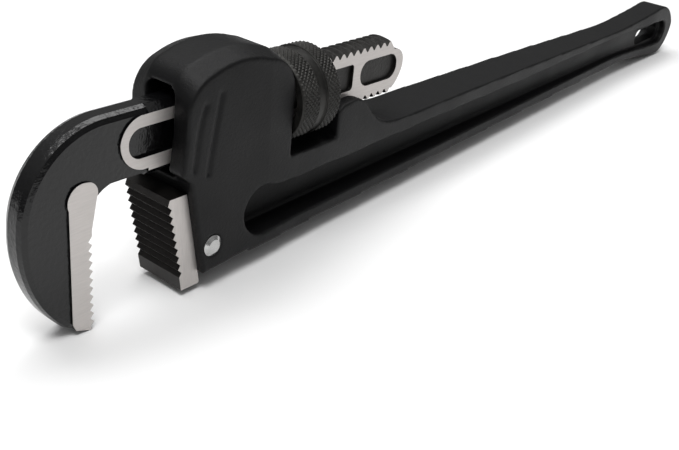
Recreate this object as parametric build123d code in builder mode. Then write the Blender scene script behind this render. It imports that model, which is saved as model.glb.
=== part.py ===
"""Straight pipe wrench, 24 inch class: every piece as its own solid, in millimetres, +Z up."""

import os
from math import ceil, cos, radians, sin

from build123d import *

os.makedirs("parts", exist_ok=True)

# Overall sizes -----------------------------------------------------------------------------
handle_length = 515.5  # lower front corner of the housing to the end of the tail
hook_back = 79.0  # the same corner to the back of the hook, along the shank
edge_height = 9.6  # lower edge of the handle above the floor
shank_slope = 1.6  # degrees between the shank and the lower edge of the handle

# Hook jaw ----------------------------------------------------------------------------------
axis_height = 64.4  # thread axis above the handle's lower front corner
shank_thickness = 13.2
shank_height = 30.4
shank_end = 148.5
shank_chamfer = 3.0
side_step = 0.9  # depth of the forged sides below the ground faces
edge_round = 3.0
recess_depth = 1.8
recess_height = 13.2
thread_pitch = 5.27
thread_depth = 2.0
thread_flat = 0.9  # width of a groove's floor
thread_start = 17.0
hook_width = 20.5  # back of the hook to the tooth plate
hook_height = 90.6  # top of the shank to the tip of the hook
throat_height = 51.5  # underside of the neck
hook_face = -48.3  # points of the hook's teeth
tooth_pitch = 3.95
tooth_depth = 1.8
hook_teeth = 11
first_hook_tooth = 32.1

# Adjusting nut -----------------------------------------------------------------------------
nut_front = 56.1
nut_length = 26.2
nut_radius = 21.2
nut_front_band = 10.9
nut_groove = 5.6
nut_groove_depth = 1.0
nut_chamfer = 1.2
thread_clearance = 0.35

# Housing -----------------------------------------------------------------------------------
housing_width = 35.0
housing_rear = 54.8
crown_drop = 3.6
crown_half = 8.5
rib_radius = 1.8
rib_depth = 0.8
passage_side_gap = 1.7
passage_floor = 45.0
passage_roof = 84.8
passage_round = 3.5
window_floor = 41.0
nut_play = 1.3  # free space between the nut and each wall of its window
window_depth = 6.2  # rear wall of the window behind the nut
saddle_top = 55.5
saddle_gap = 1.2

# Heel jaw and its pin ----------------------------------------------------------------------
heel_width = 27.2
tongue_thickness = 11.0
tongue_length = 22.0
fit_gap = 0.15
pin_x = 6.6
pin_z = 12.5
pin_radius = 4.9
pin_dome = 1.2
pin_gap = 0.05

# Handle ------------------------------------------------------------------------------------
flange_wide = 32.4  # across the flanges behind the housing
flange_narrow = 18.9  # across the flanges ahead of the tail
web_thickness = 8.0
neck_x = 415.0  # where the handle is narrowest, ahead of the tail
bottom_flange = 5.8
tail_bottom = -8.0
slot_x = 480.5
slot_z = 9.6
slot_length = 39.0
slot_height = 11.0

# Springs -----------------------------------------------------------------------------------
coil_x = 30.0
coil_radius = 3.0
coil_wire = 1.2
coil_turns = 6
pocket_depth = 12.0
pocket_gap = 0.6
spring_gap = 0.15
strip_thickness = 0.8
strip_width = 9.0
strip_x = 42.0
shank_gap = 0.3
rivet_x = 6.0
rivet_radius = 1.1
rivet_length = 4.5
rivet_head = 0.8

# Frames ------------------------------------------------------------------------------------
slope = radians(shank_slope)
bulge_height = 36.0  # height at which the hook's back reaches farthest forward
front_end = hook_back * cos(slope) - bulge_height * sin(slope)
corner_x = -(handle_length - front_end) / 2
shank_dir = (cos(slope), 0, -sin(slope))
shank_up = (sin(slope), 0, cos(slope))
ground = shank_thickness / 2
crest_radius = shank_height / 2
shank_top = axis_height + crest_radius
shank_bottom = axis_height - crest_radius
half_housing = housing_width / 2


def handle_side(y=0.0):
    """Side view of the handle: x along its lower edge, y up, facing the -Y side."""
    return Plane(origin=(corner_x, y, edge_height), x_dir=(1, 0, 0), z_dir=(0, -1, 0))


def shank_side(y=0.0):
    """Side view of the shank: x along the thread axis, y up, facing the -Y side."""
    return Plane(origin=(corner_x, y, edge_height), x_dir=shank_dir, z_dir=(0, -1, 0))


def shank_point(x, z, y=0.0):
    """A point given along the shank, above the handle's corner and across it."""
    return (
        corner_x + x * shank_dir[0] + z * shank_up[0],
        y,
        edge_height + x * shank_dir[2] + z * shank_up[2],
    )


def shank_level(z, x):
    """Level across the shank at a height, looking up from the handle."""
    return Plane(origin=shank_point(x, z), x_dir=shank_dir, z_dir=shank_up)


def shank_station(x, z=axis_height):
    """Cross-section of the shank: x across it, y up, looking along the thread axis."""
    return Plane(origin=shank_point(x, z), x_dir=(0, 1, 0), z_dir=shank_dir)


# Thread ------------------------------------------------------------------------------------
helix_start = thread_start - thread_pitch
turns_cut = ceil((shank_end - helix_start) / thread_pitch)
groove_root = crest_radius - thread_depth
nut_turn = int((nut_front - helix_start) / thread_pitch) - 1
nut_helix_start = helix_start + nut_turn * thread_pitch
nut_turns = int(nut_length / thread_pitch) + 4


def thread_profile(path, inner_half, outer_half, depth):
    """Cross-section of one turn of thread at the start of its helix."""
    start = path @ 0
    foot = Vector(*shank_point(0, axis_height))
    along = Vector(*shank_dir)
    outward = start - foot - along * (start - foot).dot(along)
    with BuildSketch(Plane(start, x_dir=outward, z_dir=path % 0), mode=Mode.PRIVATE) as profile:
        Polygon(
            (0, -inner_half),
            (depth, -outer_half),
            (depth, outer_half),
            (0, inner_half),
            align=None,
        )
    return profile.sketch


groove_half = thread_flat / 2
groove_mouth = thread_pitch * 0.4
thread_lean = (groove_mouth - groove_half) / thread_depth

groove_sweep = 80.0  # degrees of thread that cross an edge of the shank
over = 0.4
thread_axis = Axis(shank_point(0, axis_height), shank_dir)

with BuildPart() as groove:
    # One groove across the top edge of the shank: a short piece of the thread.
    with BuildLine(Plane.XY):
        groove_path = Helix(
            thread_pitch,
            thread_pitch * groove_sweep / 360,
            groove_root,
            center=shank_point(helix_start, axis_height),
            direction=shank_dir,
        )
    add(thread_profile(groove_path, groove_half, groove_mouth + over * thread_lean, thread_depth + over))
    sweep(path=groove_path, is_frenet=True)

grooves = []
for k in range(2, 2 * turns_cut + 1):
    turned = groove.part.rotate(thread_axis, 180.0 * k - groove_sweep / 2)
    along = thread_pitch * (k / 2 - groove_sweep / 720)
    grooves.append(turned.moved(Location(Vector(*shank_dir) * along)))

# Hook jaw ----------------------------------------------------------------------------------
hook_tip = shank_top - hook_height
gullet_x = hook_face - tooth_depth
plate_back = hook_width - hook_back
bend_radius = 38.0

forged = ground - side_step
edge_mid = edge_round * (1 - cos(radians(45)))


def hook_outline(y, inset):
    """Side view of the hook in one plane, its outer edge moved in by inset."""
    with BuildSketch(shank_side(y), mode=Mode.PRIVATE) as outline:
        with BuildLine():
            bend = -hook_back + bend_radius
            near = -hook_back + inset
            l1 = Line((-20, shank_top - inset), (bend, shank_top - inset))
            l2 = ThreePointArc(l1 @ 1, (near + 11 - 0.3 * inset, shank_top - 12 - 0.7 * inset), (near, 42))
            l3 = ThreePointArc(l2 @ 1, (near + 3.0, 17), (-61.0 + 0.8 * inset, -6.4 + 0.5 * inset))
            l4 = Polyline(
                l3 @ 1,
                (-55.3 + inset / 2, hook_tip + 1.7 + inset / 3),
                (-50.6, hook_tip + inset / 4),
                (gullet_x, hook_tip + inset / 4),
            )
            l5 = Line(l4 @ 1, (gullet_x, 34.0))
            l6 = ThreePointArc(l5 @ 1, (-46.4, 46.4), (-38.0, throat_height))
            Polyline(l6 @ 1, (-20, throat_height), l1 @ 0)
        make_face()
    return outline.sketch


with BuildPart() as hook_jaw:
    # Forged hook and neck, rounded along the outside and thinner than the ground faces.
    extrude(hook_outline(0, 0), amount=forged - edge_round, both=True)
    for way in (-1, 1):
        inner = hook_outline(way * (forged - edge_round), 0)
        middle = hook_outline(way * (forged - edge_mid), edge_mid)
        outer = hook_outline(way * forged, edge_round)
        loft([inner, middle], ruled=True)
        loft([middle, outer], ruled=True)
    # Ground land round the front end of the long recess.
    with BuildSketch(shank_side()):
        with BuildLine():
            g1 = Line((-15, shank_top - shank_chamfer), (-24.0, shank_top - shank_chamfer))
            g2 = ThreePointArc(g1 @ 1, (-31.0, 72.8), (-34.0, 66.5))
            g3 = ThreePointArc(g2 @ 1, (-31.2, 58.2), (-23.0, 53.4))
            Polyline(g3 @ 1, (-15, 53.4), g1 @ 0)
        make_face()
    extrude(amount=ground, both=True)
    # Ground plate that carries the teeth.
    with BuildSketch(shank_side()):
        with BuildLine():
            p1 = Line((plate_back, -5.0), (plate_back, 46.0))
            p2 = ThreePointArc(p1 @ 1, (-55.2, 55.0), (-49.8, 55.7))
            p3 = ThreePointArc(p2 @ 1, (-46.0, 53.6), (-45.5, 48.0))
            p4 = ThreePointArc(p3 @ 1, (-46.9, 41.0), (hook_face, first_hook_tooth + 2.4))
            p5 = Polyline(
                p4 @ 1,
                (hook_face, hook_tip + 1.0),
                (-49.9, hook_tip),
                (-57.0, hook_tip + 2.6),
                p1 @ 0,
            )
        make_face()
        with Locations([(hook_face, first_hook_tooth - k * tooth_pitch) for k in range(hook_teeth)]):
            Polygon(
                (0.5, 0.4),
                (0, 0),
                (-tooth_depth, -0.55 * tooth_pitch),
                (0, -tooth_pitch + 0.01),
                (0.5, -tooth_pitch),
                align=None,
                mode=Mode.SUBTRACT,
            )
    extrude(amount=ground, both=True)
    # Flat front part of the shank.
    with BuildSketch(shank_station(-20)):
        Rectangle(shank_thickness, shank_height)
        chamfer(vertices(), length=shank_chamfer)
    extrude(amount=thread_start + 20)
    # Threaded part.
    with BuildSketch(shank_station(thread_start)):
        Circle(crest_radius)
        Rectangle(shank_thickness, 2 * shank_height, mode=Mode.INTERSECT)
    extrude(amount=shank_end - thread_start)
    add(grooves, mode=Mode.SUBTRACT)

    # Rounded tail.
    with BuildSketch(shank_side()):
        with BuildLine():
            t1 = Line((shank_end - 13.5, 90), (shank_end - 13.5, shank_top))
            t2 = Line(t1 @ 1, (shank_end - 8.3, 73.3))
            t3 = ThreePointArc(t2 @ 1, (shank_end - 2.8, 71.6), (shank_end, 67.0))
            t4 = Line(t3 @ 1, (shank_end, 63.5))
            t5 = ThreePointArc(t4 @ 1, (shank_end - 3.0, 56.8), (shank_end - 10.5, shank_bottom + 1.6))
            t6 = Polyline(
                t5 @ 1,
                (shank_end - 12.0, shank_bottom),
                (shank_end - 12.0, 40),
                (shank_end + 20, 40),
                (shank_end + 20, 90),
                t1 @ 0,
            )
        make_face()
    extrude(amount=shank_thickness, both=True, mode=Mode.SUBTRACT)
    # Long recess and tail recess, forged into both sides.
    for face_y, way in ((-ground, -1), (ground, 1)):
        with BuildSketch(shank_side(face_y)):
            with Locations((39.0, axis_height + 0.6)):
                RectangleRounded(138, recess_height, 6.2)
            with Locations((100, axis_height + 0.6)):
                RectangleRounded(16, recess_height, 2.0)
            with Locations((128.4, axis_height + 0.3)):
                RectangleRounded(29.4, recess_height, 6.2)
        extrude(amount=recess_depth * way, mode=Mode.SUBTRACT)


hook_jaw.part.label = "hook_jaw"
export_step(hook_jaw.part, "parts/hook_jaw.step")

# Adjusting nut -----------------------------------------------------------------------------
ridge_tip = groove_root + thread_clearance
bore_radius = crest_radius + thread_clearance
ridge_reach = bore_radius - ridge_tip + 0.5
ridge_half = groove_half - 0.1
ridge_foot = ridge_half + (ridge_reach) * thread_lean * 0.86
nut_rear = nut_front + nut_length
groove_front = nut_front + nut_front_band
groove_rear = groove_front + nut_groove

with BuildPart() as nut_thread:
    with BuildLine(Plane.XY):
        ridge_path = Helix(
            thread_pitch,
            nut_turns * thread_pitch,
            ridge_tip,
            center=shank_point(nut_helix_start, axis_height),
            direction=shank_dir,
        )
    add(thread_profile(ridge_path, ridge_half, ridge_foot, ridge_reach))
    sweep(path=ridge_path, is_frenet=True)
    with BuildSketch(shank_station(nut_front + nut_chamfer)):
        Circle(nut_radius)
    extrude(amount=nut_length - 2 * nut_chamfer, mode=Mode.INTERSECT)

with BuildPart() as adjusting_nut:
    with BuildSketch(shank_side()) as nut_section:
        with BuildLine():
            Polyline(
                (nut_front + nut_chamfer, axis_height + bore_radius),
                (nut_front, axis_height + bore_radius + nut_chamfer),
                (nut_front, axis_height + nut_radius - nut_chamfer),
                (nut_front + nut_chamfer, axis_height + nut_radius),
                (groove_front, axis_height + nut_radius),
                (groove_front, axis_height + nut_radius - nut_groove_depth),
                (groove_rear, axis_height + nut_radius - nut_groove_depth),
                (groove_rear, axis_height + nut_radius),
                (nut_rear - nut_chamfer, axis_height + nut_radius),
                (nut_rear, axis_height + nut_radius - nut_chamfer),
                (nut_rear, axis_height + bore_radius + nut_chamfer),
                (nut_rear - nut_chamfer, axis_height + bore_radius),
                close=True,
            )
        make_face()
    revolve(axis=Axis(shank_point(0, axis_height), shank_dir))
    add(nut_thread.part)

adjusting_nut.part.label = "adjusting_nut"
export_step(adjusting_nut.part, "parts/adjusting_nut.step")

# Heel jaw ----------------------------------------------------------------------------------
seat_low = (1.9, 0.0)  # front of the cheeks at the lower edge
seat_high = (-6.6, 46.0)
seat_lean = (seat_high[0] - seat_low[0]) / (seat_high[1] - seat_low[1])
heel_top = 39.6
heel_bottom = -6.4
heel_face_top = -15.7
heel_face_bottom = -8.6
tooth_top = 36.9
heel_teeth = 9
heel_pitch = 4.05
heel_depth = 2.0
heel_face_lean = (heel_face_top - heel_face_bottom) / tooth_top


def seat_x(z):
    """Where the heel jaw's back lies at a height."""
    return seat_low[0] + seat_lean * z - fit_gap


with BuildPart() as heel_jaw:
    with BuildSketch(shank_side()):
        Polygon(
            (heel_face_top + 0.9, heel_top),
            (heel_face_top, tooth_top),
            (heel_face_bottom, 0),
            (-7.5, heel_bottom),
            (seat_x(heel_bottom) - 0.8, heel_bottom),
            (seat_x(heel_bottom + 1), heel_bottom + 1),
            (seat_x(heel_top), heel_top),
            align=None,
        )
        tooth_places = []
        for k in range(heel_teeth):
            z = tooth_top - k * heel_pitch
            tooth_places.append((heel_face_top - heel_face_lean * (tooth_top - z), z))
        with Locations(tooth_places):
            Polygon(
                (-0.6, 0.35),
                (0, 0),
                (heel_depth, -0.5 * heel_pitch),
                (-heel_face_lean * heel_pitch, -heel_pitch + 0.01),
                (-0.6 - heel_face_lean * heel_pitch, -heel_pitch),
                align=None,
                mode=Mode.SUBTRACT,
            )
    extrude(amount=heel_width / 2, both=True)
    # Tongue between the cheeks.
    with BuildSketch(shank_side()):
        Polygon(
            (-7.5, 5.5),
            (15.0, 5.5),
            (17.5, 8.0),
            (17.5, 30.0),
            (13.0, 35.5),
            (-9.5, 35.5),
            align=None,
        )
    extrude(amount=tongue_thickness / 2, both=True)
    with BuildSketch(shank_side()):
        with Locations((pin_x, pin_z)):
            Circle(pin_radius + pin_gap)
    extrude(amount=heel_width, both=True, mode=Mode.SUBTRACT)

heel_jaw.part.label = "heel_jaw"
export_step(heel_jaw.part, "parts/heel_jaw.step")

with BuildPart() as heel_jaw_pin:
    with BuildSketch(shank_side()):
        with Locations((pin_x, pin_z)):
            Circle(pin_radius)
    extrude(amount=half_housing, both=True)
    for end_y, way in ((-half_housing, 1), (half_housing, -1)):
        with BuildSketch(shank_side(end_y)):
            with Locations((pin_x, pin_z)):
                Circle(pin_radius)
        extrude(amount=pin_dome * way, taper=55)

heel_jaw_pin.part.label = "heel_jaw_pin"
export_step(heel_jaw_pin.part, "parts/heel_jaw_pin.step")

# Handle ------------------------------------------------------------------------------------
slot_wall = tongue_thickness / 2 + fit_gap
passage_half = ground + passage_side_gap
window_rear = nut_rear + window_depth



def housing_outline(y, drop):
    """Side view of the housing in one plane, its roof lowered by drop."""
    with BuildSketch(shank_side(y), mode=Mode.PRIVATE) as outline:
        with BuildLine():
            h1 = Polyline((40, 3), seat_low, seat_high, (-11.3, 50), (-9.2, 66))
            h2 = Line(h1 @ 1, (-9.0, 80 - drop))
            h3 = ThreePointArc(h2 @ 1, (drop / 2 - 6.6, 88.6 - drop), (drop / 2 + 1.0, 93.6 - drop))
            h4 = ThreePointArc(h3 @ 1, (20, 97.2 - drop), (38, 94.2 - drop))
            h5 = ThreePointArc(h4 @ 1, (49.0, 88.4 - drop), (housing_rear, 78 - drop))
            Polyline(h5 @ 1, (housing_rear, 30), (40, 3))
        make_face()
    return outline.sketch


with BuildPart() as handle_casting:
    # Beam: side outline, then narrowed in plan.
    with BuildSketch(handle_side()):
        with BuildLine():
            b1 = Line((30, 0), (406, 0))
            b2 = Spline(b1 @ 1, (464, -3.9), (498, tail_bottom), tangents=((1, 0), (0.98, -0.1)))
            b3 = ThreePointArc(b2 @ 1, (511, 0), (handle_length, 13.5))
            b4 = ThreePointArc(b3 @ 1, (509, 22.5), (488, 30.3))
            b5 = Spline(b4 @ 1, (450, 27.2), (neck_x, 25.8), tangents=((-1, -0.12), (-1, 0)))
            b6 = Spline(b5 @ 1, (320, 29), (240, 31.4), (150, 33.6), tangents=((-1, 0.02), (-1, 0.02)))
            b7 = Spline(b6 @ 1, (126.7, 37.2), (111.5, 51), tangents=((-1, 0.05), (-0.75, 1)))
            b8 = ThreePointArc(b7 @ 1, (106.5, 54.0), (101, 54.6))
            b9 = Line(b8 @ 1, (94, 54.2))
            b10 = Polyline(b9 @ 1, (window_rear + 1.5, 52), (window_rear + 1.1, window_floor - 2.4))
            b11 = Line(b10 @ 1, (30, window_floor - 1))
            Line(b11 @ 1, b1 @ 0)
        make_face()
    extrude(amount=half_housing, both=True)
    # Housing: a flat crown along the middle, sloping to both side faces.
    extrude(housing_outline(0, 0), amount=crown_half, both=True)
    for way in (-1, 1):
        low_edge = housing_outline(half_housing * way, crown_drop)
        loft([housing_outline(crown_half * way, 0), low_edge], ruled=True)
    # Two shallow grooves down each side face.
    for way in (-1, 1):
        for places in (
            ((1.0, 79.5), (-2.2, 71.0), (-4.2, 58.5), (-5.4, 50.0)),
            ((9.0, 83.0), (7.3, 74.0), (4.6, 60.0), (2.6, 46.5)),
        ):
            rib_plane = shank_side(way * (half_housing + rib_radius - rib_depth))
            with BuildLine(rib_plane):
                rib_path = Spline(*places)
            with BuildSketch(Plane(rib_path @ 0, z_dir=rib_path % 0)):
                Circle(rib_radius)
            sweep(path=rib_path, mode=Mode.SUBTRACT)
    # Way through for the shank.
    with BuildSketch(shank_station(-20, (passage_floor + passage_roof) / 2)):
        RectangleRounded(2 * passage_half, passage_roof - passage_floor, passage_round)
    extrude(amount=20 + housing_rear + 1, mode=Mode.SUBTRACT)
    # Saddle behind the window.
    with BuildSketch(shank_station(nut_rear, shank_bottom - saddle_gap)):
        Rectangle(2 * passage_half, 40, align=(Align.CENTER, Align.MIN))
    extrude(amount=90, mode=Mode.SUBTRACT)
    # Slot for the heel jaw's tongue.
    with BuildSketch(shank_side()):
        Polygon((-12, 4.5), (20, 4.5), (20, 36.5), (-12, 36.5), align=None)
    extrude(amount=slot_wall, both=True, mode=Mode.SUBTRACT)
    # Hole for the pin.
    with BuildSketch(shank_side()):
        with Locations((pin_x, pin_z)):
            Circle(pin_radius + pin_gap)
    extrude(amount=housing_width, both=True, mode=Mode.SUBTRACT)
    # Side channels of the I-beam.
    for web_y, way in ((-web_thickness / 2, 1), (web_thickness / 2, -1)):
        with BuildSketch(handle_side(web_y)):
            with BuildLine():
                c1 = Line((41.5, bottom_flange + 0.6), (406, bottom_flange))
                c2 = Spline(c1 @ 1, (464, 2.7), (494, 1.2), tangents=((1, 0), (1, 0)))
                c3 = ThreePointArc(c2 @ 1, (503.0, 9.5), (496, 18.5))
                c4 = Spline(
                    c3 @ 1,
                    (434, 21.4),
                    (310, 22.5),
                    (150, 25.5),
                    (66, 27.0),
                    (41, 30.8),
                    tangents=((-1, 0.06), (-1, 0.5)),
                )
                c5 = ThreePointArc(c4 @ 1, (30.5, 28.0), (26.5, 20.0))
                c6 = ThreePointArc(c5 @ 1, (30.0, 10.4), c1 @ 0)
            make_face()
        extrude(amount=30 * way, mode=Mode.SUBTRACT)
    # Hanging slot.
    with BuildSketch(handle_side()):
        with Locations((slot_x, slot_z)):
            SlotOverall(slot_length, slot_height)
    extrude(amount=half_housing, both=True, mode=Mode.SUBTRACT)
    # Pocket of the coil spring.
    with BuildSketch(shank_level(passage_floor - pocket_depth, coil_x)):
        Circle(coil_radius + coil_wire / 2 + pocket_gap)
    extrude(amount=pocket_depth + 1, mode=Mode.SUBTRACT)
    # Hole for the leaf spring's rivet.
    with BuildSketch(shank_level(passage_roof - 1, rivet_x)):
        Circle(rivet_radius + pin_gap)
    extrude(amount=rivet_length + 1, mode=Mode.SUBTRACT)
    # Narrow the beam in plan.
    with BuildSketch(Plane.XY.offset(-10)):
        Polygon(
            (corner_x - 20, half_housing),
            (corner_x + 40, half_housing),
            (corner_x + 62, flange_wide / 2),
            (corner_x + neck_x, flange_narrow / 2),
            (corner_x + handle_length + 5, flange_narrow / 2),
            (corner_x + handle_length + 5, -flange_narrow / 2),
            (corner_x + neck_x, -flange_narrow / 2),
            (corner_x + 62, -flange_wide / 2),
            (corner_x + 40, -half_housing),
            (corner_x - 20, -half_housing),
            align=None,
        )
    extrude(amount=200, mode=Mode.INTERSECT)

handle_casting.part.label = "handle_casting"
export_step(handle_casting.part, "parts/handle_casting.step")

# Coil spring, standing in its pocket under the shank ---------------------------------------
coil_low = passage_floor - pocket_depth + spring_gap + coil_wire / 2
coil_high = shank_bottom - shank_gap - coil_wire / 2

with BuildPart() as coil_spring:
    with BuildLine(Plane.XY):
        coil_path = Helix(
            (coil_high - coil_low) / coil_turns,
            coil_high - coil_low,
            coil_radius,
            center=shank_point(coil_x, coil_low),
            direction=shank_up,
        )
    with BuildSketch(Plane(coil_path @ 0, z_dir=coil_path % 0)):
        Circle(coil_wire / 2)
    sweep(path=coil_path, is_frenet=True)

coil_spring.part.label = "coil_spring"
export_step(coil_spring.part, "parts/coil_spring.step")

# Leaf spring under the roof of the passage, and its rivet ----------------------------------
strip_top = passage_roof - spring_gap
strip_low = shank_top + shank_gap

with BuildPart() as flat_spring:
    with BuildSketch(shank_side()):
        Polygon(
            (rivet_x - 5, strip_top),
            (rivet_x + 7, strip_top),
            (strip_x, strip_low + strip_thickness),
            (strip_x + 6, strip_low + strip_thickness + 0.7),
            (strip_x + 6, strip_low + 0.7),
            (strip_x, strip_low),
            (rivet_x + 7, strip_top - strip_thickness),
            (rivet_x - 5, strip_top - strip_thickness),
            align=None,
        )
        fillet(vertices().sort_by(Axis.X)[2:-2], radius=2.0)
    extrude(amount=strip_width / 2, both=True)
    with BuildSketch(shank_level(strip_top - 2, rivet_x)):
        Circle(rivet_radius + pin_gap)
    extrude(amount=4, mode=Mode.SUBTRACT)

flat_spring.part.label = "flat_spring"
export_step(flat_spring.part, "parts/flat_spring.step")

with BuildPart() as flat_spring_rivet:
    with BuildSketch(shank_level(strip_top - strip_thickness, rivet_x)):
        Circle(rivet_radius)
    extrude(amount=rivet_length - 0.5)
    with BuildSketch(shank_level(strip_top - strip_thickness - rivet_head, rivet_x)):
        Circle(2 * rivet_radius)
    extrude(amount=rivet_head)

flat_spring_rivet.part.label = "flat_spring_rivet"
export_step(flat_spring_rivet.part, "parts/flat_spring_rivet.step")
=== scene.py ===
import math

import bpy
import numpy as np
from mathutils import Matrix, Vector


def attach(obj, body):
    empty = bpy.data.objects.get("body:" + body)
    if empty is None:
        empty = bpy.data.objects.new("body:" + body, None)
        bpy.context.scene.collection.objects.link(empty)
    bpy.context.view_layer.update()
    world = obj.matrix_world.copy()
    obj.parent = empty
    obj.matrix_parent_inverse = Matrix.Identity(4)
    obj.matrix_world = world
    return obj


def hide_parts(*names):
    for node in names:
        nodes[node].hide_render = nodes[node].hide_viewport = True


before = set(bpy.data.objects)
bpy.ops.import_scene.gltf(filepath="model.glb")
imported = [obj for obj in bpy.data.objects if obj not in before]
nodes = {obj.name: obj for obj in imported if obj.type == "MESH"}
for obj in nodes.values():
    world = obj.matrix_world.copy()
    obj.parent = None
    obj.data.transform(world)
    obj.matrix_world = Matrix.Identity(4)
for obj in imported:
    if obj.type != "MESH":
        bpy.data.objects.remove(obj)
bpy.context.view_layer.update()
print("loaded", len(nodes))

mm = 0.001

# where the shank lies: its slope against the handle, the housing's lower front corner and
# the height of the shank's axis above it
tool = {"slope": math.radians(1.6), "corner": (-218.768, 9.6), "axis": 64.4}


def linear(hexColour):
    # sRGB hex to the linear values that the shaders take
    parts = [int(hexColour[i : i + 2], 16) / 255 for i in (1, 3, 5)]
    parts = [c / 12.92 if c <= 0.04045 else ((c + 0.055) / 1.055) ** 2.4 for c in parts]
    return (*parts, 1.0)


def perMm(size):
    # noise scale for a grain of this size in mm
    return 1 / (size * mm)


def add(tree, kind, inputs, settings=None, output=0):
    # one node: inputs are constants or other nodes' outputs; gives one of its outputs
    node = tree.nodes.new("ShaderNode" + kind)
    for name, value in (settings or {}).items():
        setattr(node, name, value)
    for name, value in inputs.items():
        if isinstance(value, bpy.types.NodeSocket):
            tree.links.new(value, node.inputs[name])
        else:
            node.inputs[name].default_value = value
    return node.outputs[output] if node.outputs else node


colours = {"data_type": "RGBA"}
numbers = {"data_type": "FLOAT"}


def newMaterial(name):
    material = bpy.data.materials.new(name)
    material.use_nodes = True
    tree = material.node_tree
    tree.nodes.clear()
    return material, tree, add(tree, "TexCoord", {}, output="Object")


def finish(tree, inputs):
    surface = add(tree, "BsdfPrincipled", inputs, output="BSDF")
    add(tree, "OutputMaterial", {"Surface": surface})


# powder coat on cast aluminium: a satin black with a fine grain
coat = {"low": "#060607", "high": "#0b0b0c", "cloud": 30, "fine": 0.55, "coarse": 1.6, "relief": 0.13}


def texturedCoat():
    material, tree, point = newMaterial("textured_black_coat")
    cloud = add(tree, "TexNoise", {"Vector": point, "Scale": perMm(coat["cloud"]), "Detail": 2})
    fine = add(tree, "TexNoise", {"Vector": point, "Scale": perMm(coat["fine"]), "Detail": 2})
    coarse = add(tree, "TexNoise", {"Vector": point, "Scale": perMm(coat["coarse"]), "Detail": 2})
    grain = add(tree, "Math", {0: fine, 1: coarse}, {"operation": "ADD"})
    colour = add(tree, "Mix", {0: cloud, 6: linear(coat["low"]), 7: linear(coat["high"])}, colours, 2)
    spread = {"Value": cloud, "From Min": 0.3, "From Max": 0.7, "To Min": 0.44, "To Max": 0.54}
    relief = {"Distance": coat["relief"] * mm, "Strength": 0.8, "Height": grain}
    finish(tree, {
        "Base Color": colour,
        "Roughness": add(tree, "MapRange", spread),
        "Specular IOR Level": 0.2,
        "Normal": add(tree, "Bump", relief, output="Normal"),
    })
    return material


# forged steel under black lacquer with an orange peel: its outermost side faces are ground
# bare, and the thread on its edges is oily steel
jaw = {
    "lacquer": ("#050506", "#080809"),
    "oily": ("#161514", "#2b2a28"),
    "bright": ("#bbb7b4", "#d2cdca"),
    "groundFrom": 6.50,
    "groundTo": 6.57,
    "threadFrom": -201,
    "threadTo": -199,
    "peel": 2.0,
    "finePeel": 0.7,
    "relief": 0.22,
}


def jawSteel():
    material, tree, point = newMaterial("forged_jaw")
    split = add(tree, "SeparateXYZ", {0: point}, output="X").node
    side = add(tree, "Math", {0: split.outputs["Y"]}, {"operation": "ABSOLUTE"})
    edge = {"Value": side, "From Min": jaw["groundFrom"] * mm, "From Max": jaw["groundTo"] * mm}
    ground = add(tree, "MapRange", edge)
    start = {"Value": split.outputs["X"], "From Min": jaw["threadFrom"] * mm, "From Max": jaw["threadTo"] * mm}
    threads = add(tree, "MapRange", start)
    # streaks of the grinding belt run along the shank
    along = add(tree, "VectorMath", {0: point, 1: (0.12, 1, 1.6)}, {"operation": "MULTIPLY"}, "Vector")
    grinding = {"Vector": along, "Scale": perMm(1.0), "Detail": 4, "Roughness": 0.6}
    patterns = {
        "bright": add(tree, "TexNoise", grinding),
        "lacquer": add(tree, "TexNoise", {"Vector": point, "Scale": perMm(12), "Detail": 2}),
        "oily": add(tree, "TexNoise", {"Vector": point, "Scale": perMm(5), "Detail": 3}),
    }
    tones = {}
    for name, pattern in patterns.items():
        low, high = jaw[name]
        tones[name] = add(tree, "Mix", {0: pattern, 6: linear(low), 7: linear(high)}, colours, 2)
    dark = add(tree, "Mix", {0: threads, 6: tones["lacquer"], 7: tones["oily"]}, colours, 2)
    darkMetal = add(tree, "Mix", {0: threads, 2: 0.0, 3: 0.5}, numbers)
    darkRough = add(tree, "Mix", {0: threads, 2: 0.2, 3: 0.4}, numbers)
    wide = add(tree, "TexNoise", {"Vector": point, "Scale": perMm(jaw["peel"]), "Detail": 2})
    tight = add(tree, "TexNoise", {"Vector": point, "Scale": perMm(jaw["finePeel"]), "Detail": 2})
    tight = add(tree, "Math", {0: tight, 1: 0.35}, {"operation": "MULTIPLY"})
    peel = add(tree, "Math", {0: wide, 1: tight}, {"operation": "ADD"})
    relief = {
        "Distance": jaw["relief"] * mm,
        "Strength": add(tree, "Mix", {0: ground, 2: 0.9, 3: 0.08}, numbers),
        "Height": add(tree, "Mix", {0: ground, 6: peel, 7: patterns["bright"]}, colours, 2),
    }
    finish(tree, {
        "Base Color": add(tree, "Mix", {0: ground, 6: dark, 7: tones["bright"]}, colours, 2),
        "Metallic": add(tree, "Mix", {0: ground, 2: darkMetal, 3: 0.85}, numbers),
        "Roughness": add(tree, "Mix", {0: ground, 2: darkRough, 3: 0.5}, numbers),
        "Specular IOR Level": 0.4,
        "Normal": add(tree, "Bump", relief, output="Normal"),
    })
    return material


# toothed block: ground bare at the sides, dark oxide between the teeth
heel = {
    "oxide": ("#141312", "#2c2927"),
    "bright": ("#b7b3b0", "#cec9c6"),
    "groundFrom": 13.5,
    "groundTo": 13.57,
    "relief": 0.05,
}


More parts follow.
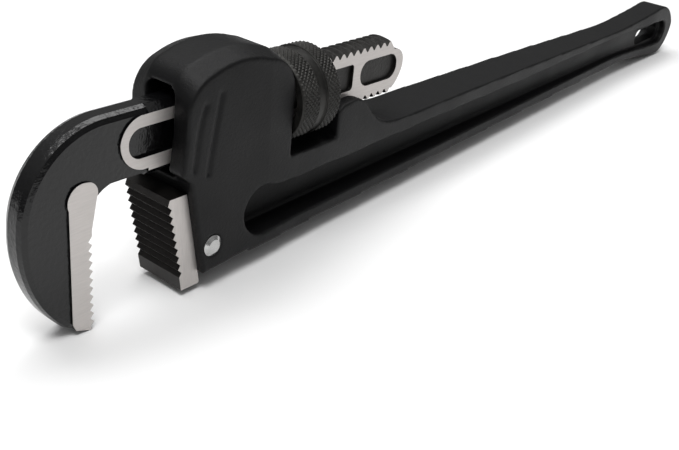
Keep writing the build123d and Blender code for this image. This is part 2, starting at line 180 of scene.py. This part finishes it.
def heelSteel():
    material, tree, point = newMaterial("heel_steel")
    split = add(tree, "SeparateXYZ", {0: point}, output="X").node
    side = add(tree, "Math", {0: split.outputs["Y"]}, {"operation": "ABSOLUTE"})
    edge = {"Value": side, "From Min": heel["groundFrom"] * mm, "From Max": heel["groundTo"] * mm}
    ground = add(tree, "MapRange", edge)
    # streaks of the grinding belt run up the block
    upward = add(tree, "VectorMath", {0: point, 1: (1.4, 1, 0.15)}, {"operation": "MULTIPLY"}, "Vector")
    grinding = {"Vector": upward, "Scale": perMm(1.0), "Detail": 4, "Roughness": 0.6}
    patterns = {
        "bright": add(tree, "TexNoise", grinding),
        "oxide": add(tree, "TexNoise", {"Vector": point, "Scale": perMm(3), "Detail": 3}),
    }
    tones = {}
    for name, pattern in patterns.items():
        low, high = heel[name]
        tones[name] = add(tree, "Mix", {0: pattern, 6: linear(low), 7: linear(high)}, colours, 2)
    relief = {"Distance": heel["relief"] * mm, "Strength": 0.2, "Height": patterns["bright"]}
    finish(tree, {
        "Base Color": add(tree, "Mix", {0: ground, 6: tones["oxide"], 7: tones["bright"]}, colours, 2),
        "Metallic": add(tree, "Mix", {0: ground, 2: 0.7, 3: 0.85}, numbers),
        "Roughness": add(tree, "Mix", {0: ground, 2: 0.42, 3: 0.46}, numbers),
        "Normal": add(tree, "Bump", relief, output="Normal"),
    })
    return material


# bare steels: grain and reliefGrain in mm, rough as its lowest and highest value
steels = {
    "spring_steel": {
        "tones": ("#4a4844", "#6a6863"), "metal": 0.9, "rough": (0.30, 0.40),
        "grain": 1.0, "reliefGrain": 1.0, "detail": 3, "relief": 0.02, "strength": 0.3,
    },
    "pin_steel": {
        "tones": ("#a9a9a8", "#cfcfce"), "metal": 0.9, "rough": (0.17, 0.27),
        "grain": 3.0, "reliefGrain": 3.0, "detail": 3, "relief": 0.02, "strength": 0.3,
    },
    "rivet_steel": {
        "tones": ("#8f8f8c", "#b5b5b2"), "metal": 0.9, "rough": (0.30, 0.40),
        "grain": 1.0, "reliefGrain": 1.0, "detail": 3, "relief": 0.02, "strength": 0.3,
    },
    "knurled_steel": {
        "tones": ("#1c1c1b", "#3a3937"), "metal": 0.75, "rough": (0.36, 0.50),
        "grain": 2.0, "reliefGrain": 0.4, "detail": 2, "relief": 0.03, "strength": 0.4,
    },
}


def bareSteel(name):
    steel = steels[name]
    material, tree, point = newMaterial(name)
    grain = add(tree, "TexNoise", {"Vector": point, "Scale": perMm(steel["grain"]), "Detail": 3})
    fine = {"Vector": point, "Scale": perMm(steel["reliefGrain"]), "Detail": steel["detail"]}
    low, high = steel["tones"]
    smooth, rough = steel["rough"]
    spread = {"Value": grain, "From Min": 0.3, "From Max": 0.7, "To Min": smooth, "To Max": rough}
    relief = {
        "Distance": steel["relief"] * mm,
        "Strength": steel["strength"],
        "Height": add(tree, "TexNoise", fine),
    }
    finish(tree, {
        "Base Color": add(tree, "Mix", {0: grain, 6: linear(low), 7: linear(high)}, colours, 2),
        "Metallic": steel["metal"],
        "Roughness": add(tree, "MapRange", spread),
        "Normal": add(tree, "Bump", relief, output="Normal"),
    })
    return material


def dress(node, material):
    mesh = nodes[node].data
    mesh.materials.clear()
    mesh.materials.append(material)


springSteel = bareSteel("spring_steel")
dress("handle_casting", texturedCoat())
dress("hook_jaw", jawSteel())
dress("heel_jaw", heelSteel())
dress("heel_jaw_pin", bareSteel("pin_steel"))
dress("flat_spring", springSteel)
dress("coil_spring", springSteel)
dress("flat_spring_rivet", bareSteel("rivet_steel"))
print("materials done")

# casting: welded, then resurfaced so that every cast edge is rounded
cast = {"weld": 0.0005, "voxel": 0.8, "softness": 0.5, "passes": 2, "keep": 0.5}
casting = nodes["handle_casting"]
weld = casting.modifiers.new("weld", "WELD")
weld.merge_threshold = cast["weld"] * mm
resurface = casting.modifiers.new("resurface", "REMESH")
resurface.mode = "VOXEL"
resurface.voxel_size = cast["voxel"] * mm
resurface.use_smooth_shade = True
soften = casting.modifiers.new("soften", "SMOOTH")
soften.factor = cast["softness"]
soften.iterations = cast["passes"]
thin = casting.modifiers.new("thin", "DECIMATE")
thin.ratio = cast["keep"]
print("casting done")

# adjusting nut: lengths in mm, from its front face and from the shank's axis
nut = {
    "front": 56.1,
    "length": 26.2,
    "radius": 21.2,
    "bore": 15.55,
    "tip": 13.55,
    "chamfer": 1.2,
    "frontBand": 10.9,
    "groove": 5.6,
    "grooveDepth": 1.0,
    "edge": 0.25,
    "knurlPitch": 1.75,
    "knurlDepth": 0.45,
    "knurlStep": 0.22,
    "threadPitch": 5.27,
    "threadStart": 17.0,
    "boreStep": 0.3,
    "around": 540,
}
plain, knurled, threaded = 0, 1, 2


def stations(start, end, step, radius, kind):
    # evenly spaced points of the section at one radius
    count = max(2, int(abs(end - start) / step) + 1)
    return [(x, radius, kind) for x in np.linspace(start, end, count)]


def nutSection():
    # closed outline of the section: distance from the front face, radius and kind of surface
    rear, c, edge = nut["length"], nut["chamfer"], nut["edge"]
    top, bore, step = nut["radius"], nut["bore"], nut["knurlStep"]
    low = top - nut["grooveDepth"]
    grooveFront = nut["frontBand"]
    grooveRear = grooveFront + nut["groove"]
    roundOver, lip, shoulder = 0.08, 0.35, 0.3
    outline = stations(c, grooveFront - 2 * edge, step, top, knurled)
    outline += [
        (grooveFront - edge, top - roundOver, plain),
        (grooveFront, top - lip, plain),
        (grooveFront, low + shoulder, plain),
        (grooveFront + shoulder, low, plain),
        (grooveRear - shoulder, low, plain),
        (grooveRear, low + shoulder, plain),
        (grooveRear, top - lip, plain),
        (grooveRear + edge, top - roundOver, plain),
    ]
    outline += stations(grooveRear + 2 * edge, rear - c, step, top, knurled)
    outline += [
        (rear - edge, top - c * 0.75, plain),
        (rear, top - c, plain),
        (rear, top - c - 0.4, plain),
        (rear, bore + c, plain),
        (rear - c, bore, plain),
    ]
    outline += stations(rear - c - 0.2, c + 0.2, nut["boreStep"], bore, threaded)
    outline += [
        (c, bore, plain),
        (0, bore + c, plain),
        (0, top - c - 0.4, plain),
        (0, top - c, plain),
        (edge, top - c * 0.75, plain),
    ]
    return np.array(outline)


def buildNut():
    # The section is turned round the shank's axis. On the bands the radius drops by the
    # knurl's depth times the larger of two crossed waves of x and the turn. In the bore it
    # drops by the ridge's height where x, less the pitch times the turn, meets the thread.
    section = nutSection()
    kind = section[:, 2]
    theta = np.linspace(0, 2 * math.pi, nut["around"], endpoint=False)
    turn = theta[:, None] / (2 * math.pi)
    x = section[:, 0][None, :] + np.zeros((len(theta), 1))
    radius = section[:, 1][None, :] + np.zeros((len(theta), 1))
    spacing = nut["knurlPitch"] * math.sqrt(2)
    a = round(2 * math.pi * nut["radius"] / spacing) * turn
    b = x / spacing
    waveA = np.abs(((a + b) % 1) * 2 - 1)
    waveB = np.abs(((a - b) % 1) * 2 - 1)
    valley = np.clip(np.maximum(waveA, waveB) * 1.5 - 0.45, 0, 1)
    radius -= np.where(kind == knurled, valley * nut["knurlDepth"], 0)
    helixStart = nut["threadStart"] - nut["threadPitch"]
    phase = ((nut["front"] + x - helixStart) / nut["threadPitch"] - turn + 0.5) % 1 - 0.5
    ridge = np.clip((0.40 - np.abs(phase)) / 0.32, 0, 1)
    radius -= np.where(kind == threaded, ridge * (nut["bore"] - nut["tip"]), 0)
    # right-handed turn about the axis, starting from straight up, then the shank's slope
    along = (nut["front"] + x).ravel()
    across = (-radius * np.sin(theta)[:, None]).ravel()
    above = (tool["axis"] + radius * np.cos(theta)[:, None]).ravel()
    s, c = math.sin(tool["slope"]), math.cos(tool["slope"])
    cornerX, cornerZ = tool["corner"]
    placed = [cornerX + along * c + above * s, across, cornerZ - along * s + above * c]
    points = np.stack(placed, 1) * mm
    rows, cols = len(theta), len(section)
    i = np.arange(rows)[:, None]
    j = np.arange(cols)[None, :]
    nextRow = ((i + 1) % rows) * cols
    nextCol = (j + 1) % cols
    corners = [i * cols + j, nextRow + j, nextRow + nextCol, i * cols + nextCol]
    faces = np.stack(corners, -1).reshape(-1, 4)
    mesh = bpy.data.meshes.new("nut_knurled")
    mesh.from_pydata(points.tolist(), [], faces.tolist())
    mesh.update()
    return mesh


nutPiece = bpy.data.objects.new("nut_knurled", buildNut())
bpy.context.scene.collection.objects.link(nutPiece)
nutPiece.data.materials.append(bareSteel("knurled_steel"))
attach(nutPiece, "nut")
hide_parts("adjusting_nut")
print("nut done")

# floor: half its side in metres
ground = {"half": 6.0, "colour": "#f4f4f4", "rough": 0.9}
half = ground["half"]
floorMesh = bpy.data.meshes.new("floor")
floorCorners = [(-half, -half, 0), (half, -half, 0), (half, half, 0), (-half, half, 0)]
floorMesh.from_pydata(floorCorners, [], [(0, 1, 2, 3)])
floor = bpy.data.objects.new("floor", floorMesh)
bpy.context.scene.collection.objects.link(floor)
floorMaterial, floorTree = newMaterial("floor_white")[:2]
finish(floorTree, {"Base Color": linear(ground["colour"]), "Roughness": ground["rough"]})
floorMesh.materials.append(floorMaterial)

# studio sky: dark at the horizon and white overhead
studio = {"horizon": 0.13, "zenith": 1.0, "fullAt": 0.8, "strength": 0.5}
world = bpy.data.worlds.new("studio")
bpy.context.scene.world = world
world.use_nodes = True
sky = world.node_tree
direction = add(sky, "TexCoord", {}, output="Generated")
up = add(sky, "SeparateXYZ", {0: direction}, output="Z")
fade = {"Value": up, "From Min": 0.0, "From Max": studio["fullAt"]}
fade.update({"To Min": studio["horizon"], "To Max": studio["zenith"]})
glow = add(sky, "MapRange", fade)
grey = add(sky, "Mix", {0: glow, 6: linear("#000000"), 7: linear("#ffffff")}, colours, 2)
background = sky.nodes["Background"]
sky.links.new(grey, background.inputs["Color"])
background.inputs["Strength"].default_value = studio["strength"]

# soft boxes: place and size in metres, power in watts, both aimed at the head of the wrench
lights = {
    "key": {"at": (-0.6, -0.35, 1.45), "size": (0.6, 0.5), "power": 12.0},
    "top": {"at": (0.1, 0.5, 1.5), "size": (1.8, 0.6), "power": 16},
}
lightAim = Vector((-0.05, 0, 0.05))
for name, light in lights.items():
    data = bpy.data.lights.new(name, "AREA")
    data.shape = "RECTANGLE"
    data.size, data.size_y = light["size"]
    data.energy = light["power"]
    lamp = bpy.data.objects.new(name, data)
    lamp.location = light["at"]
    lamp.rotation_euler = (lightAim - lamp.location).to_track_quat("-Z", "Y").to_euler()
    bpy.context.scene.collection.objects.link(lamp)

# camera: place in mm, its right and up directions, lens and sensor in mm
view = {
    "at": (-466.1, -280.6, 238.3),
    "right": (0.6412, -0.7634, 0.0788),
    "up": (0.3280, 0.3654, 0.8711),
    "lens": 51.67,
    "sensor": 36,
}
cameraData = bpy.data.cameras.new("camera")
cameraData.lens = view["lens"]
cameraData.sensor_width = view["sensor"]
cameraData.clip_start = 0.01
cameraData.clip_end = 50
camera = bpy.data.objects.new("camera", cameraData)
bpy.context.scene.collection.objects.link(camera)
right = Vector(view["right"]).normalized()
upward = Vector(view["up"])
upward = (upward - right * upward.dot(right)).normalized()
turned = Matrix((right, upward, right.cross(upward))).transposed().to_4x4()
camera.matrix_world = Matrix.Translation(Vector(view["at"]) * mm) @ turned
bpy.context.scene.camera = camera
bpy.context.scene.view_settings.view_transform = "Standard"
print("stage done")
